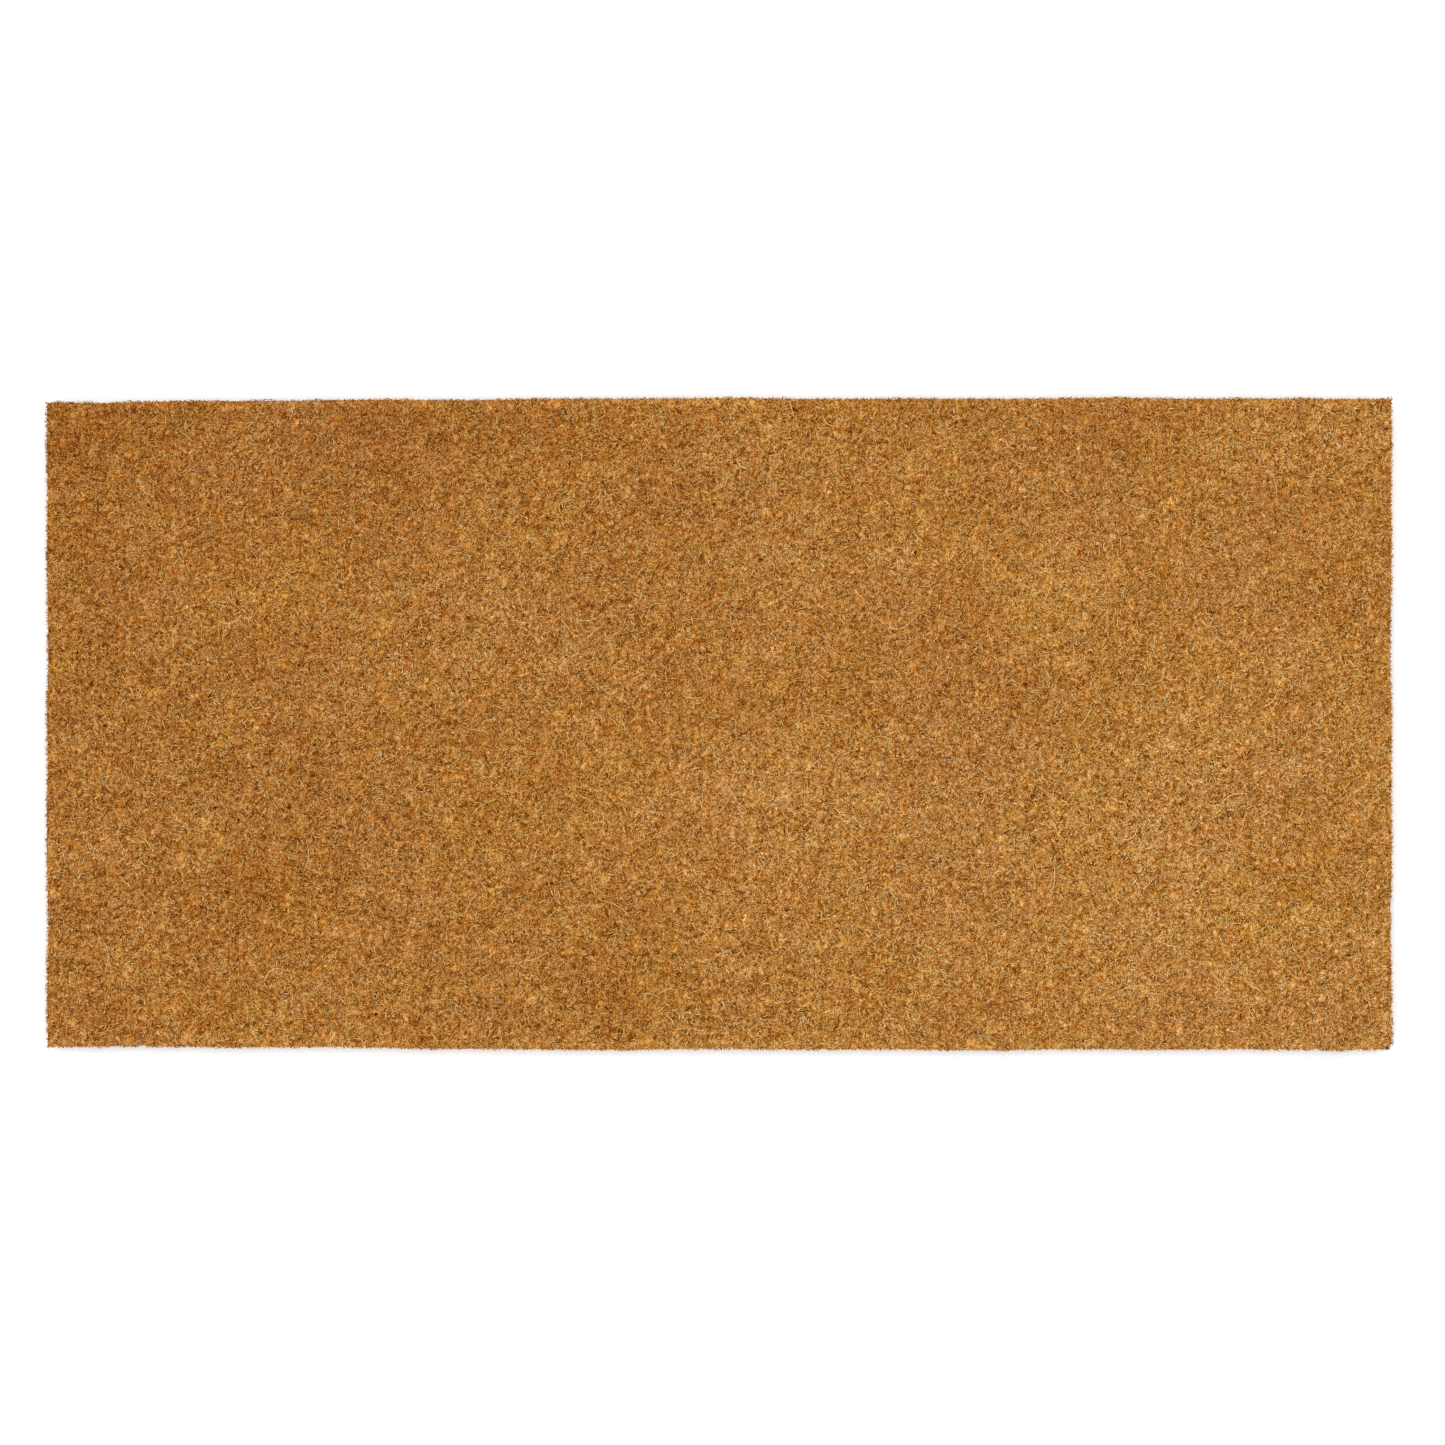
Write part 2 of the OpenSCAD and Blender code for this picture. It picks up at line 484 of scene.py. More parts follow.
# ---------------------------------------------------------------- cores of the rows
# The core's outline at a tuft, from one foot over the crown to the other, in millimetres.
# Its shoulders overlap the next rows' cores, so that the crease between rows is shallow.
CORE_OUTLINE = [(-1, 1), (-1.25, 3), (-2.4, 8.5), (-4.1, 13.3), (-2.9, 14.2)]
CORE_OUTLINE += [(0, 14.4)] + [(-x, z) for x, z in reversed(CORE_OUTLINE)]
BEFORE, CROWN, AFTER = 4, 5, 6  # stations by the row before, on the row, and by the row after
CORE_IN_X, CORE_IN_Y = 0.6 * MM, 0.5 * MM  # how far a core stays inside the short and long edges
CORE_SPLAY = 0.55 * SPLAY
CORE_WAIST = 0.08  # how much narrower the core is between tufts, as a share of its width
CORE_STRAY, CORE_DIP = 0.25 * MM, 0.8 * MM  # the usual unevenness of its sides and of its top
GAP_DIP, FOUR_DIP = 3, 2.4  # how deep the core dips under a gap, in the gap's radius
DEEPEST_DIP = 5.0 * MM


def row_core(row):
    """Vertices (rings, stations, 3) of the packed fibres in one row.

    The outline is carried along the row, with a ring at each tuft, between tufts and at each end.
    It grows with height until it meets the next row's, as the tufts do, and follows the tufts'
    places by its share of the height. It dips by uneven amounts, and deepest under the gaps
    between tufts. At the cut edges it leans out by CORE_SPLAY.
    """
    y, half_width = tuft_y[row], MAT_WIDTH / 2 - CORE_IN_Y
    stops = np.empty(2 * TUFTS - 1)
    stops[0::2], stops[1::2] = y, (y[1:] + y[:-1]) / 2
    stops = np.concatenate([[-half_width], stops, [half_width]])
    full = np.zeros(len(stops))  # 1 at a tuft and 0 between two
    full[1:-1:2] = 1
    full[[0, -1]] = 0.6
    middle = np.interp(stops, y, tuft_x[row])[:, None]
    straight = (row + 0.5) * ROW_PITCH - MAT_LENGTH / 2
    out, up = np.array(CORE_OUTLINE).T * MM
    share = np.clip((up - BACKING_TOP) / (PILE_TOP - BACKING_TOP), 0, 1)
    share = np.where(up > BACKING_TOP, share, 0)
    x = straight + out + (middle - straight) * share
    x = x - out * CORE_WAIST * share * (1 - full[:, None])
    x = x + rng.normal(0, CORE_STRAY, x.shape) * share
    z = np.broadcast_to(up, x.shape)
    dips = rng.gamma(0.8, CORE_DIP, x.shape) * (1 - 0.6 * full[:, None])
    dips[2:-1:2, CROWN] += GAP_DIP * gap_radius[row, 1:-1]
    dips[2:-1:2, BEFORE] += FOUR_DIP * four_radius[row, 1:-1]
    dips[2:-1:2, AFTER] += FOUR_DIP * four_radius[row + 1, 1:-1]
    z = z - np.minimum(dips, DEEPEST_DIP) * share
    y = np.broadcast_to(stops[:, None], x.shape)
    back_x, back_y = drawn_back(x, y)
    reach, end = MAT_LENGTH / 2 - CORE_IN_X - back_x, half_width - back_y
    splayed = CORE_SPLAY * share
    x = np.clip(x, -reach, reach) + splayed * np.sign(x) * edge_share(x, MAT_LENGTH)
    y = np.clip(y, -end, end) + splayed * np.sign(y) * edge_share(y, MAT_WIDTH)
    return np.stack([x, y, z], -1)


def core_faces(rings, stations, first, low, high):
    """Quads between the rings of a closed tube and a cap at each end, with their map places.

    The tube is laid out on the map's rectangle from low to high, and the caps are two discs above
    it there.
    """
    r, s = np.meshgrid(np.arange(rings - 1), np.arange(stations), indexing="ij")
    r, s = r.ravel(), s.ravel()
    after = (s + 1) % stations
    index = [(r, s), (r + 1, s), (r + 1, after), (r, after)]
    quads = first + np.stack([a * stations + b for a, b in index], -1)
    span = np.array(high) - low
    place = [(r, s), (r + 1, s), (r + 1, s + 1), (r, s + 1)]
    quad_uv = np.stack([np.stack([a / (rings - 1), b / (stations + 1)], -1) for a, b in place], 1)
    station = np.arange(stations)
    caps = first + np.stack([station, (rings - 1) * stations + station[::-1]])
    turn = 2 * np.pi * station / stations
    disc = np.stack([0.05 + 0.04 * np.cos(turn), 0.94 + 0.05 * np.sin(turn)], -1)
    cap_uv = np.stack([disc, disc + [0.5, 0]])
    return [quads, caps], [low + quad_uv * span, low + cap_uv * span]


# ---------------------------------------------------------------- pieces of the pile
CORE_BAND = 0.4  # the share of the map that the cores take; the fibres have the rest
MAP_COLUMNS = 96  # cells in a line of the map
LINES_IN_SHADE = 4  # lines of cells whose fibres are nearly of one tone


def rank(key):
    """The place of each value when they are put in order."""
    return np.argsort(np.argsort(key, kind="stable"), kind="stable")


def map_order(tone, x, y):
    """Which cell of the map each fibre takes, so that neighbours there hardly differ.

    The fibres are sorted by tone into shades of LINES_IN_SHADE lines of cells, within a shade by
    X into lines, backwards in every other shade, and within a line by Y. For that, X and Y go
    from 0 to a little less than 1.
    """
    most = 0.98
    x, y = (most * (v - v.min()) / np.ptp(v) for v in (x, y))
    shade = rank(tone) // (LINES_IN_SHADE * MAP_COLUMNS)
    line = rank(shade + np.where(shade % 2 == 0, x, most - x)) // MAP_COLUMNS
    return rank(line + y)


def pile_piece(number, finish_fibre, finish_core):
    """One piece of the pile: the cores and fibres of the rows in GROUPS_IN_PIECE groups."""
    first_row = number * GROUPS_IN_PIECE * ROWS_IN_GROUP
    rows = range(first_row, first_row + GROUPS_IN_PIECE * ROWS_IN_GROUP)
    picked = slice(rows[0], rows[-1] + 1)
    sides = [np.concatenate(part) for part in zip(*(side_fibres(row) for row in rows))]
    on_sides = len(sides[0])
    bent = [
        np.concatenate([part[picked].reshape(-1, 3), side])
        for part, side in zip(bent_points, sides)
    ]
    straight = [part[picked].reshape(-1, 3) for part in straight_points]
    radius = np.concatenate([bent_radius[picked].ravel(), rng.uniform(0.16, 0.27, on_sides) * MM])
    tone = np.concatenate([bent_tone[picked].ravel(), rng.uniform(0, 0.9, on_sides)])
    lower_tone = straight_tone[picked].ravel()
    vertices = [
        bent_spikes(*bent, radius).reshape(-1, 3),
        straight_spikes(*straight, straight_radius[picked].ravel()).reshape(-1, 3),
    ]
    toned = [np.repeat(tone, len(BENT_ALONG)), np.repeat(lower_tone, len(STRAIGHT_ALONG))]
    along = [np.tile(BENT_ALONG, len(tone)), np.tile(STRAIGHT_ALONG, len(lower_tone))]

    tones, stand = np.concatenate([tone, lower_tone]), np.concatenate([bent[1], straight[0]])
    corner, size = cells(len(tones), (0, CORE_BAND), (1, 1), MAP_COLUMNS)
    corner = corner[map_order(tones, stand[:, 0], stand[:, 1])]
    faces, uv = spike_faces(BENT_FACES, BENT_UV, 0, corner[: len(tone)], size)
    first = len(vertices[0])
    more, more_uv = spike_faces(STRAIGHT_FACES, STRAIGHT_UV, first, corner[len(tone) :], size)
    faces, uv = faces + more, uv + more_uv
    finish_of_face = [np.zeros(sum(len(f) for f in faces), int)]

    first += len(vertices[1])
    band = CORE_BAND / len(rows)
    for line, row in enumerate(rows):
        core = row_core(row)
        low, high = (0, line * band), (1, (line + 0.9) * band)
        quads, places = core_faces(*core.shape[:2], first, low, high)
        core = core.reshape(-1, 3)
        faces, uv, first = faces + quads, uv + places, first + len(core)
        vertices.append(core)
        toned.append(np.full(len(core), 0.5))
        along.append(np.zeros(len(core)))
        finish_of_face.append(np.ones(sum(len(f) for f in quads), int))
    piece = new_piece(
        f"coir_pile_{number + 1:02d}", shaped(np.concatenate(vertices)), faces, uv,
        [finish_fibre, finish_core], np.concatenate(finish_of_face),
        fibre_tone=np.concatenate(toned), fibre_along=np.concatenate(along),
    )
    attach(piece, "root")
    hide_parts(*GROUPS[number * GROUPS_IN_PIECE : (number + 1) * GROUPS_IN_PIECE])
    return piece


# ---------------------------------------------------------------- loose fibres
LOOSE = 230
LOOSE_RINGS = 9
LOOSE_SIDES = 4
LOOSE_MARGIN = 2 * MM  # how far past the mat's edges they may lie
LOOSE_DIP = 1.6 * MM  # how far their ends dip into the pile
LOOSE_COLUMNS = 20  # cells in a line of their map


def loose_fibres(finish):
    """Long pale fibres that lie on the pile, as one piece.

    Each runs from a point in a random direction, turning at an even rate with a slow sway, and
    dips into the pile at both ends by a fourth power. Its square tube narrows towards both ends
    and is closed by a cap at each.
    """
    start_x = rng.uniform(-0.49, 0.49, (LOOSE, 1)) * MAT_LENGTH
    start_y = rng.uniform(-0.49, 0.49, (LOOSE, 1)) * MAT_WIDTH
    length = rng.gamma(5, 2.3 * MM, (LOOSE, 1))
    t = np.linspace(0, 1, LOOSE_RINGS)
    heading = rng.uniform(0, 2 * np.pi, (LOOSE, 1))
    bend, sway = rng.normal(0, 0.9, (LOOSE, 1)), rng.normal(0, 0.35, (LOOSE, 1))
    heading = heading + bend * t + sway * np.sin(2 * np.pi * t)
    step = length / (LOOSE_RINGS - 1)
    reach_x, reach_y = MAT_LENGTH / 2 + LOOSE_MARGIN, MAT_WIDTH / 2 + LOOSE_MARGIN
    x = np.clip(start_x + np.cumsum(step * np.cos(heading), 1), -reach_x, reach_x)
    y = np.clip(start_y + np.cumsum(step * np.sin(heading), 1), -reach_y, reach_y)
    lift = rng.uniform(0.0, 0.5, (LOOSE, 1)) * MM
    z = PILE_TOP + lift - LOOSE_DIP * np.abs(2 * t - 1) ** 4
    line = np.stack([x, y, z], -1)
    direction = unit(np.gradient(line, axis=1))
    side = unit(np.cross(direction, [0, 0, 1.0]))
    over = np.cross(side, direction)
    radius = rng.uniform(0.14, 0.22, (LOOSE, 1)) * MM * (1 - 0.45 * np.abs(2 * t - 1) ** 3)
    turn = 2 * np.pi * np.arange(LOOSE_SIDES)[:, None] / LOOSE_SIDES
    around = np.cos(turn) * side[:, :, None, :] + np.sin(turn) * over[:, :, None, :]
    vertices = (line[:, :, None, :] + radius[..., None, None] * around).reshape(-1, 3)

    r, s = np.meshgrid(np.arange(LOOSE_RINGS - 1), np.arange(LOOSE_SIDES), indexing="ij")
    r, s = r.ravel(), s.ravel()
    after = (s + 1) % LOOSE_SIDES
    index = [(r, s), (r, after), (r + 1, after), (r + 1, s)]
    quads = np.stack([a * LOOSE_SIDES + b for a, b in index], -1)
    ends = np.arange(LOOSE_SIDES)
    caps = np.stack([ends[::-1], (LOOSE_RINGS - 1) * LOOSE_SIDES + ends])
    first = LOOSE_RINGS * LOOSE_SIDES * np.arange(LOOSE)[:, None, None]
    faces = [(first + quads).reshape(-1, 4), (first + caps).reshape(-1, 4)]
    place = [(r, s), (r, s + 1), (r + 1, s + 1), (r + 1, s)]
    quad_uv = np.stack(
        [np.stack([a / LOOSE_RINGS, b / (LOOSE_SIDES + 0.4)], -1) for a, b in place], 1
    )
    cap = np.array([[0.9, 0.1], [0.97, 0.1], [0.97, 0.4], [0.9, 0.4]])
    cap_uv = np.stack([cap, cap + [0, 0.5]])
    corner, size = cells(LOOSE, (0, 0), (1, 1), LOOSE_COLUMNS)
    corner = corner[:, None, None, :]
    uv = [(corner + places * size).reshape(-1, 4, 2) for places in (quad_uv, cap_uv)]
    piece = new_piece(
        "loose_fibres", shaped(vertices), faces, uv, [finish],
        fibre_tone=np.repeat(rng.uniform(0.6, 0.95, LOOSE), LOOSE_RINGS * LOOSE_SIDES),
        fibre_along=np.ones(len(vertices)),
    )
    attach(piece, "root")
    return piece


# ---------------------------------------------------------------- backing
BACKING_LINES = 14  # points across the width
ROOT_BULGE = 0.12 * MM  # how far the underside stands back between the roots
MAP_LENGTH = 0.94  # the mat's length on the backing's map
UPPER_PLACE, UNDER_PLACE = (0.01, 0.01), (0.01, 0.52)  # where each skin's corner is there
RIM_STRIP = 0.006  # how wide a strip of the map each side of the rim takes


def backing_lines():
    """X of the backing's lines of points, and the heights there of its upper and lower skin.

    There are four lines at each row, the lips and feet of its groove, and one at each end.
    """
    row = (np.arange(ROWS)[:, None] + 0.5) * ROW_PITCH - MAT_LENGTH / 2
    share = (BACKING_TOP - ROOT_FLOOR) / (PILE_TOP - ROOT_FLOOR)
    foot = ROOT_WIDTH / 2 + ROOT_CLEARANCE
    lip = foot + (ROW_PITCH - ROW_GAP - ROOT_WIDTH) / 2 * share
    groove = (row + [-lip, -foot, foot, lip]).ravel()
    x = np.concatenate([[-MAT_LENGTH / 2], groove, [MAT_LENGTH / 2]])
    upper = np.tile([BACKING_TOP, ROOT_FLOOR, ROOT_FLOOR, BACKING_TOP], ROWS)
    lower = np.tile([ROOT_BULGE, 0, 0, ROOT_BULGE], ROWS)
    return x, np.pad(upper, 1, constant_values=BACKING_TOP), np.pad(lower, 1)


def rim_places(run, shift, upright):
    """Map places of the quads of one side of the rim, a strip at shift that goes up or across."""
    level = np.full(len(run) - 1, shift)
    low, high = run[:-1], run[1:]
    corners = [(level, low), (level + RIM_STRIP, low), (level + RIM_STRIP, high), (level, high)]
    return np.stack([np.stack(c if upright else c[::-1], -1) for c in corners], 1)


def backing_piece(finish):
    """The PVC sheet as two skins on one grid, joined round the edge.

    The upper skin follows the grooves. The lower one is lowest under each root and stands back a
    little between them, as poured PVC does.
    """
    x, upper, lower = backing_lines()
    y = np.linspace(-MAT_WIDTH / 2, MAT_WIDTH / 2, BACKING_LINES)
    gx, gy = np.meshgrid(x, y, indexing="ij")
    skins = [np.stack([gx, gy, np.broadcast_to(z[:, None], gx.shape)], -1) for z in (upper, lower)]
    vertices = shaped(np.stack(skins).reshape(-1, 3))
    nx, ny = gx.shape
    i, j = (a.ravel() for a in np.meshgrid(np.arange(nx - 1), np.arange(ny - 1), indexing="ij"))
    square = [(i, j), (i + 1, j), (i + 1, j + 1), (i, j + 1)]
    skin = np.stack([a * ny + b for a, b in square], -1)
    run_x, run_y = ((v - v[0]) * MAP_LENGTH / MAT_LENGTH for v in (x, y))
    flat = np.stack([np.stack([run_x[a], run_y[b]], -1) for a, b in square], 1)
    faces = [skin, skin[:, ::-1] + nx * ny]
    uv = [flat + UPPER_PLACE, flat[:, ::-1] + UNDER_PLACE]

    across, along = np.arange(ny - 1), np.arange(nx - 1)
    last = (nx - 1) * ny
    # The sides of the rim: the upper points that each quad runs from and to, how far those are
    # along the side, and where the side's strip of the map is and whether it goes up it.
    rim = [
        (across + 1, across, run_y, 0.975, True),
        (last + across, last + across + 1, run_y, 0.985, True),
        (along * ny, (along + 1) * ny, run_x, 0.490, False),
        ((along + 1) * ny + ny - 1, along * ny + ny - 1, run_x, 0.505, False),
    ]
    for start, end, run, shift, upright in rim:
        faces.append(np.stack([start, start + nx * ny, end + nx * ny, end], -1))
        uv.append(rim_places(run, shift, upright))
    piece = new_piece("pvc_backing", vertices, faces, uv, [finish])
    piece.data.shade_flat()
    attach(piece, "root")
    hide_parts("backing")
    return piece


# ---------------------------------------------------------------- finishes
def srgb(red, green, blue):
    """A colour given in the usual 0 to 255 display numbers, as the linear one that shaders use."""
    def linear(v):
        v = v / 255
        return v / 12.92 if v <= 0.04045 else ((v + 0.055) / 1.055) ** 2.4
    return (linear(red), linear(green), linear(blue), 1)


class Value:
    """What a node gives, such as a number that varies over a surface: sums on it add Math nodes."""

    def __init__(self, finish, socket):
        self.finish, self.socket = finish, socket

    def _math(self, operation, first, second=0.0):
        return self.finish.node("ShaderNodeMath", {"operation": operation}, {0: first, 1: second})

    def __add__(self, other):
        return self._math("ADD", self, other)

    def __sub__(self, other):
        return self._math("SUBTRACT", self, other)

    def __mul__(self, other):
        return self._math("MULTIPLY", self, other)

    def __truediv__(self, other):
        return self._math("DIVIDE", self, other)

    def __pow__(self, other):
        return self._math("POWER", self, other)

    def __rsub__(self, other):
        return self._math("SUBTRACT", other, self)

    __radd__ = __add__
    __rmul__ = __mul__

    def clamped(self):
        """The value held between 0 and 1."""
        return self.finish.node(
            "ShaderNodeClamp", {"clamp_type": "MINMAX"}, {"Value": self, "Min": 0.0, "Max": 1.0}
        )


class Finish:
    """A material with one Principled shader, and the ways to add nodes to it."""

    def __init__(self, name, **constants):
        self.material = bpy.data.materials.new(name)
        self.material.use_nodes = True
        self.tree = self.material.node_tree
        self.shader = self.tree.nodes["Principled BSDF"]
        for socket, value in constants.items():
            self.shader.inputs[socket.replace("_", " ")].default_value = value

    def node(self, kind, settings=(), values=(), output=0):
        """A new node: its settings first, then its sockets by name or number; returns an output."""
        made = self.tree.nodes.new(kind)
        for key, value in dict(settings).items():
            if key == "stops":
                self._stops(made.color_ramp, value)
            else:
                setattr(made, key, value)
        for key, value in dict(values).items():
            self.feed(made.inputs[key], value)
        return Value(self, made.outputs[output])

    def _stops(self, ramp, stops):
        while len(ramp.elements) < len(stops):
            ramp.elements.new(0.5)
        for element, (place, colour) in zip(ramp.elements, stops):
            element.position, element.color = place, colour

    def feed(self, socket, value):
        """Links a Value to a socket, or sets the socket to a constant."""
        if isinstance(value, Value):
            self.tree.links.new(value.socket, socket)
        else:
            socket.default_value = value

    def place(self):
        """Where the point is on the mat, in metres."""
        return self.node("ShaderNodeTexCoord", output="Object")

    def coordinate(self, axis):
        """The point's X, Y or Z on the mat, in metres."""
        return self.node("ShaderNodeSeparateXYZ", {}, {0: self.place()}, output=axis)

    def stored(self, key):
        """A number stored on the mesh."""
        return self.node("ShaderNodeAttribute", {"attribute_name": key}, output="Fac")

    def noise(self, scale, detail=2.0, stretch=(1, 1, 1)):
        """Noise of so many waves a metre, from 0 to 1, stretched along an axis by a small factor."""
        where = self.node("ShaderNodeMapping", {}, {"Vector": self.place(), "Scale": stretch})
        values = {"Vector": where, "Scale": scale, "Detail": detail}
        return self.node("ShaderNodeTexNoise", {}, values)

    def mix(self, amount, first, second, blend="MIX"):
        """Two colours mixed by an amount from 0 to 1."""
        settings = {"data_type": "RGBA", "blend_type": blend}
        return self.node("ShaderNodeMix", settings, {0: amount, 6: first, 7: second}, output=2)

    def bump(self, height, distance, strength):
        """Roughens the surface by a height from 0 to 1, over a distance."""
        values = {"Height": height, "Distance": distance, "Strength": strength}
        self.feed(self.shader.inputs["Normal"], self.node("ShaderNodeBump", {}, values))

    def set(self, socket, value):
        """Feeds one of the shader's own sockets."""
        self.feed(self.shader.inputs[socket], value)


GOLDEN, REDDISH = (1.0, 1.02, 0.89, 1), (1.01, 0.96, 0.82, 1)  # casts of the patches
COIR_STOPS = [
    (0.0, srgb(120, 64, 3)),
    (0.35, srgb(169, 119, 53)),
    (0.7, srgb(188, 152, 101)),
    (1.0, srgb(202, 172, 128)),
]


def patches(finish):
    """How light the coir is, about 1: drifts over the mat, a darker -X end, and patches.

    The end gets darker over its last 0.3 half lengths, and most in its +Y corner. The patches are
    noise in three sizes, down to a tuft's.
    """
    along = finish.coordinate("X") / (MAT_LENGTH / 2)
    across = finish.coordinate("Y") / (MAT_WIDTH / 2)
    shade = (-1 * along).clamped() * across.clamped()
    end, corner = (-3.3 * along - 2.3).clamped(), (3.3 * across - 2.3).clamped()
    drift = 0.045 * along - 0.03 * across - 0.09 * shade - end * (0.03 + 0.09 * corner)
    broad = (finish.noise(8.0, 1.0, (0.6, 1, 1)) - 0.5) * 0.31
    middle = (finish.noise(28.0, 1.0) - 0.5) * 0.22
    tufts = (finish.noise(85.0, 2.0) - 0.5) * 0.19
    return 0.992 + drift + broad + middle + tufts


def coir_colour(finish, tone, depth):
    """Coir from husk brown through tan to straw by tone, in golden and reddish patches.

    Light that gets down into the pile turns deeper and redder from fibre to fibre, so a depth
    from 0 to 1 multiplies it by a power of itself that is larger for green and largest for blue.
    Light patches are paler in the same way.
    """
    base = finish.node("ShaderNodeValToRGB", {"stops": COIR_STOPS}, {"Fac": tone})
    golden = finish.mix(1.0, base, GOLDEN, "MULTIPLY")
    reddish = finish.mix(1.0, base, REDDISH, "MULTIPLY")
    hue = ((finish.noise(48.0, 2.0) - 0.5) * 2.0 + 0.5).clamped()
    base = finish.mix(hue, golden, reddish)
    light = patches(finish)
    straw = 1.0 + (finish.noise(9.0, 1.0) - 0.5) * 0.4 + (finish.noise(60.0, 2.0) - 0.5) * 0.45
    deep = 0.2 + 0.8 * depth
    channels = {
        "Red": deep**0.5 * light**0.85,
        "Green": deep * light**1.45,
        "Blue": deep**1.9 * light**2.0 * straw,
    }
    cast = finish.node("ShaderNodeCombineColor", {}, channels)
    return finish.mix(1.0, base, cast, "MULTIPLY")


def coir_fibre():
    """One cut fibre: tone from the fibre itself, with painted shade darker and redder towards its
    root.
    """
    finish = Finish("coir_fibre", Specular_IOR_Level=0.03)
    tone = (finish.stored("fibre_tone") + (finish.noise(900.0, 1.0) - 0.5) * 0.12).clamped()
    # painted shade: the share along the fibre darkens and reddens it towards its root
    finish.set("Base Color", coir_colour(finish, tone, finish.stored("fibre_along")))
    finish.set("Roughness", 0.55 + 0.25 * finish.noise(700.0, 1.0))
    finish.bump(finish.noise(2600.0, 2.0), 0.06 * MM, 0.5)
    return finish.material


STRAND_CELLS, STRAND_WAVES = 430.0, 2100.0  # bundles of strands, and strands, to a metre
STRAND_SHIFT = (0.3, 0.6, 0)  # moves the middle of the turned pattern off the mat
FULL_TURN = 6.28
CORE_SHADED_HEIGHT, CORE_LIT_HEIGHT = 10.5 * MM, 14 * MM  # heights where the core's painted shade is deepest and where it has faded out


def strands(finish):
    """Small bundles of strands, each lying its own way: the strands, and each bundle's number.

    The plane is cut into STRAND_CELLS cells a metre. Each takes a random angle, and noise that is
    long in that direction and short across it draws the strands.
    """
    place = finish.node(
        "ShaderNodeMapping", {}, {"Vector": finish.place(), "Location": STRAND_SHIFT}
    )
    cell = finish.node(
        "ShaderNodeTexVoronoi", {}, {"Vector": place, "Scale": STRAND_CELLS}, "Color"
    )
    angle = finish.node("ShaderNodeSeparateColor", {}, {0: cell}, "Red") * FULL_TURN
    bundle = finish.node("ShaderNodeSeparateColor", {}, {0: cell}, "Green")
    spun = finish.node(
        "ShaderNodeVectorRotate", {"rotation_type": "Z_AXIS"}, {"Vector": place, "Angle": angle}
    )
    drawn = finish.node("ShaderNodeMapping", {}, {"Vector": spun, "Scale": (1, 0.12, 0.3)})
    values = {"Vector": drawn, "Scale": STRAND_WAVES, "Detail": 1.0}
    return finish.node("ShaderNodeTexNoise", {}, values), bundle


def coir_core():
    """The packed fibres under the surface: small bundles of strands, with painted shade, darker the
    deeper they lie.
    """
    finish = Finish("coir_core", Specular_IOR_Level=0.0)
    strand, bundle = strands(finish)
    height = (finish.coordinate("Z") - CORE_SHADED_HEIGHT) / (CORE_LIT_HEIGHT - CORE_SHADED_HEIGHT)
    # painted shade: the lower the core lies the darker it is, and even at its top its depth stays
    # below a fibre tip's
    level = 0.4 + 0.6 * height.clamped()
    tone = ((strand - 0.5) * 2.2 + bundle * 0.4 + 0.25).clamped()
    depth = level * (0.5 + 0.25 * bundle + (strand - 0.5) * 1.2)
    finish.set("Base Color", coir_colour(finish, tone, depth.clamped()))
    finish.set("Roughness", 0.7 + 0.25 * strand)
    finish.bump(strand * 0.5 + bundle * 0.5, 0.8 * MM, 1.0)
    return finish.material


PVC_DARK, PVC_PALE, COIR_DUST = srgb(38, 35, 32), srgb(66, 60, 54), srgb(120, 94, 62)


def pvc():
    """Charcoal PVC, poured and cooled on a belt: a fine matt grain, pale clouds and coir dust."""
    finish = Finish("charcoal_pvc", Specular_IOR_Level=0.4)
    grain = finish.noise(1500.0, 3.0)
    cloud = finish.noise(30.0, 4.0)
    dust = ((finish.noise(420.0, 3.0) - 0.56) * 6).clamped() * cloud
    colour = finish.mix(cloud, PVC_DARK, PVC_PALE)
    finish.set("Base Color", finish.mix(dust * 0.7, colour, COIR_DUST))
    finish.set("Roughness", 0.48 + 0.3 * grain + 0.12 * cloud)
    finish.bump(grain * 0.6 + finish.noise(260.0, 2.0), 0.12 * MM, 0.8)
    return finish.material


# ---------------------------------------------------------------- the object
fibre_finish, core_finish = coir_fibre(), coir_core()
for number in range(len(GROUPS) // GROUPS_IN_PIECE):
    pile_piece(number, fibre_finish, core_finish)
loose_fibres(fibre_finish)
backing = backing_piece(pvc())


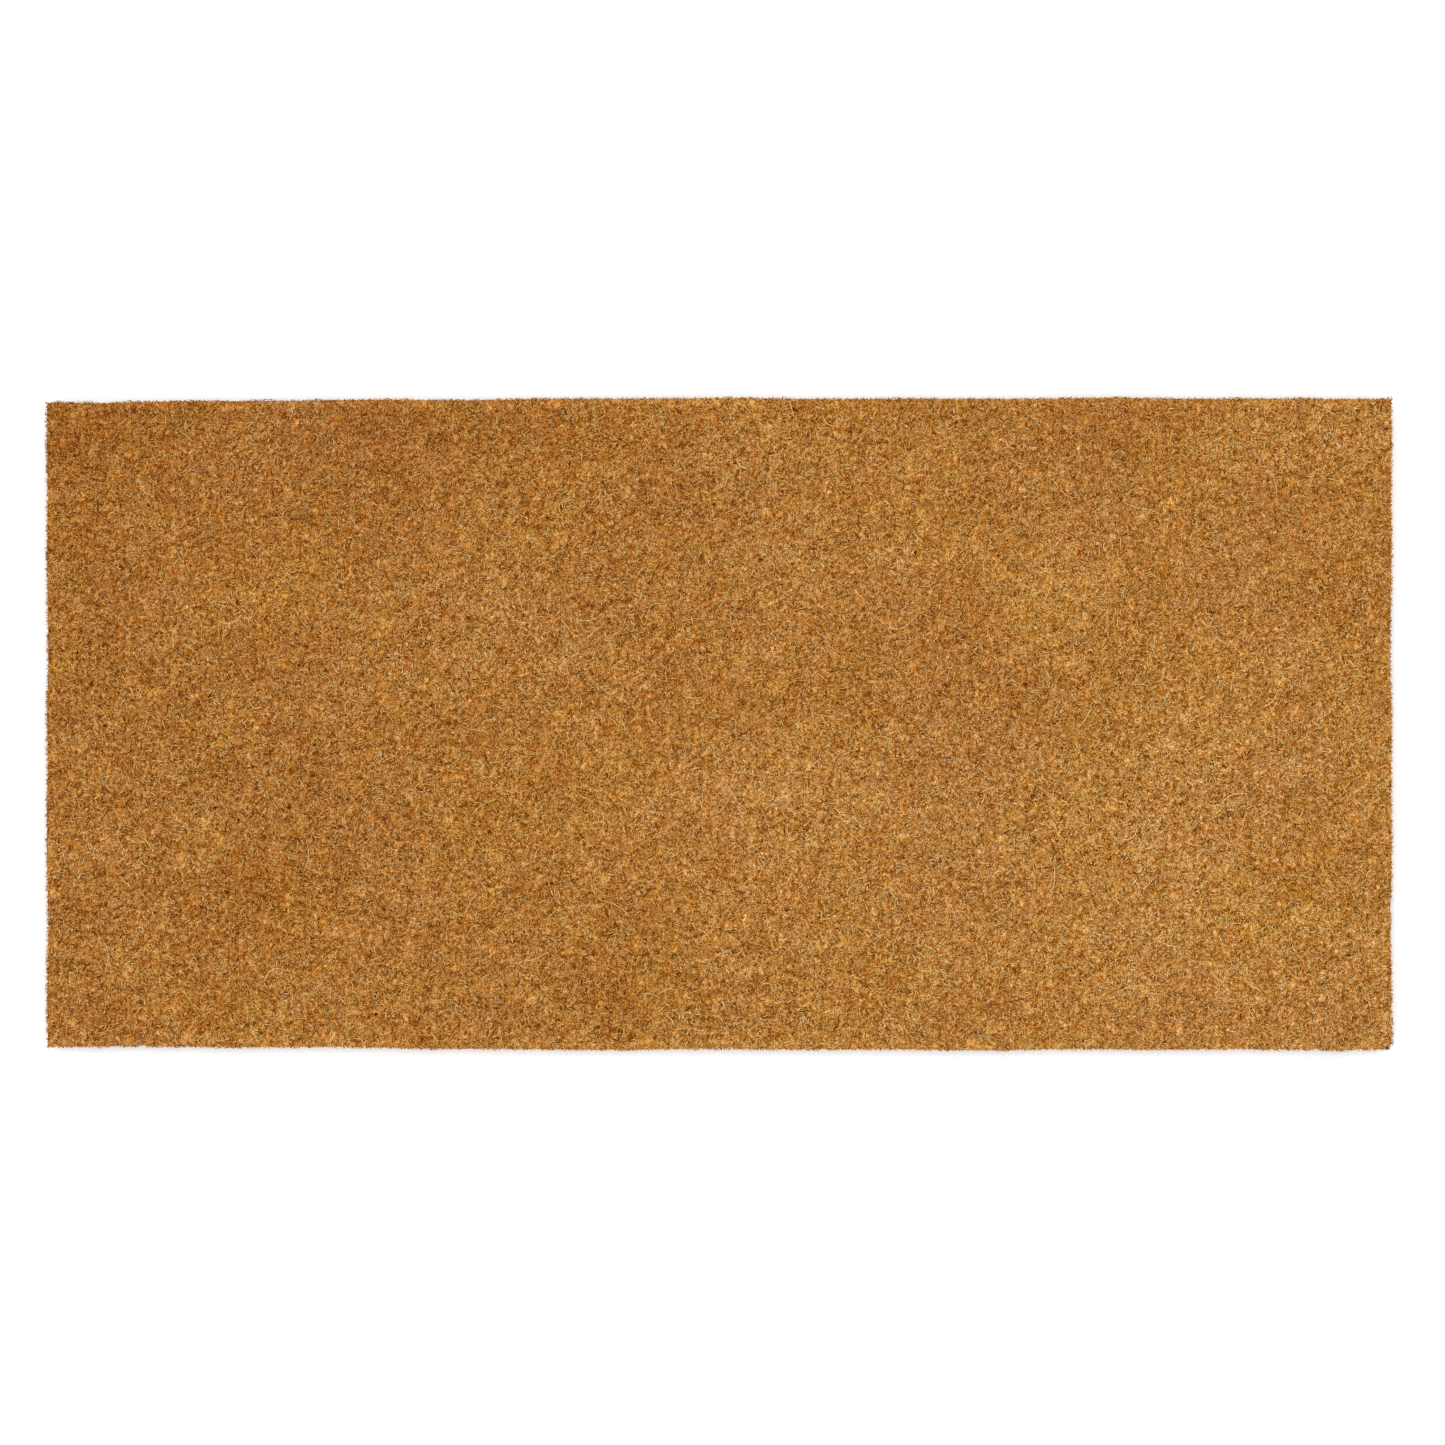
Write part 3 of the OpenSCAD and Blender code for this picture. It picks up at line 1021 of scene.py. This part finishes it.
# ---------------------------------------------------------------- stage, light and camera
FLOOR_REACH = 20.0
SURROUND = 1.8  # the strength of the even light from all round
LAMP_SIZE, LAMP_POWER, LAMP_PLACE = 3.0, 80, (-0.25, 0.4, 3.7)
FRAME_SPAN = 1.0754 * MAT_LENGTH  # what the square picture takes in
LENS, SENSOR = 100, 36  # millimetres
AIM = (2.2 * MM, 1.0 * MM)  # the picture's middle, from the mat's


def floor():
    """A pale studio floor that reaches past every view."""
    corners = FLOOR_REACH * np.array([[-1, -1, 0], [1, -1, 0], [1, 1, 0], [-1, 1, 0]])
    finish = Finish("studio_floor", Base_Color=(0.6, 0.6, 0.6, 1), Roughness=0.9)
    uv = [np.array([[[0, 0], [1, 0], [1, 1], [0, 1]]], float)]
    made = new_piece("studio_floor", corners, [np.array([[0, 1, 2, 3]])], uv, [finish.material])


def light():
    """A bright even surround and one large soft lamp overhead."""
    world = bpy.data.worlds.new("studio")
    bpy.context.scene.world = world
    world.use_nodes = True
    background = world.node_tree.nodes["Background"]
    background.inputs["Color"].default_value = (1, 1, 1, 1)
    background.inputs["Strength"].default_value = SURROUND
    lamp = bpy.data.lights.new("softbox", "AREA")
    lamp.shape, lamp.size, lamp.energy = "DISK", LAMP_SIZE, LAMP_POWER
    box = bpy.data.objects.new("softbox", lamp)
    box.location = LAMP_PLACE
    box.rotation_mode = "QUATERNION"
    box.rotation_quaternion = (-Vector(LAMP_PLACE)).to_track_quat("-Z", "Y")
    bpy.context.scene.collection.objects.link(box)


def camera():
    """Straight above the mat, through a long lens, with the mat's length across the picture."""
    lens = bpy.data.cameras.new("camera")
    lens.lens, lens.sensor_width = LENS, SENSOR
    away = FRAME_SPAN * LENS / SENSOR
    lens.clip_start, lens.clip_end = 0.1, 50
    made = bpy.data.objects.new("camera", lens)
    made.location = (*AIM, PILE_TOP + away)
    bpy.context.scene.collection.objects.link(made)
    bpy.context.scene.camera = made


floor()
light()
camera()
bpy.context.scene.view_settings.view_transform = "Standard"
bpy.context.scene.cycles.use_denoising = False  # it would smear the fibres
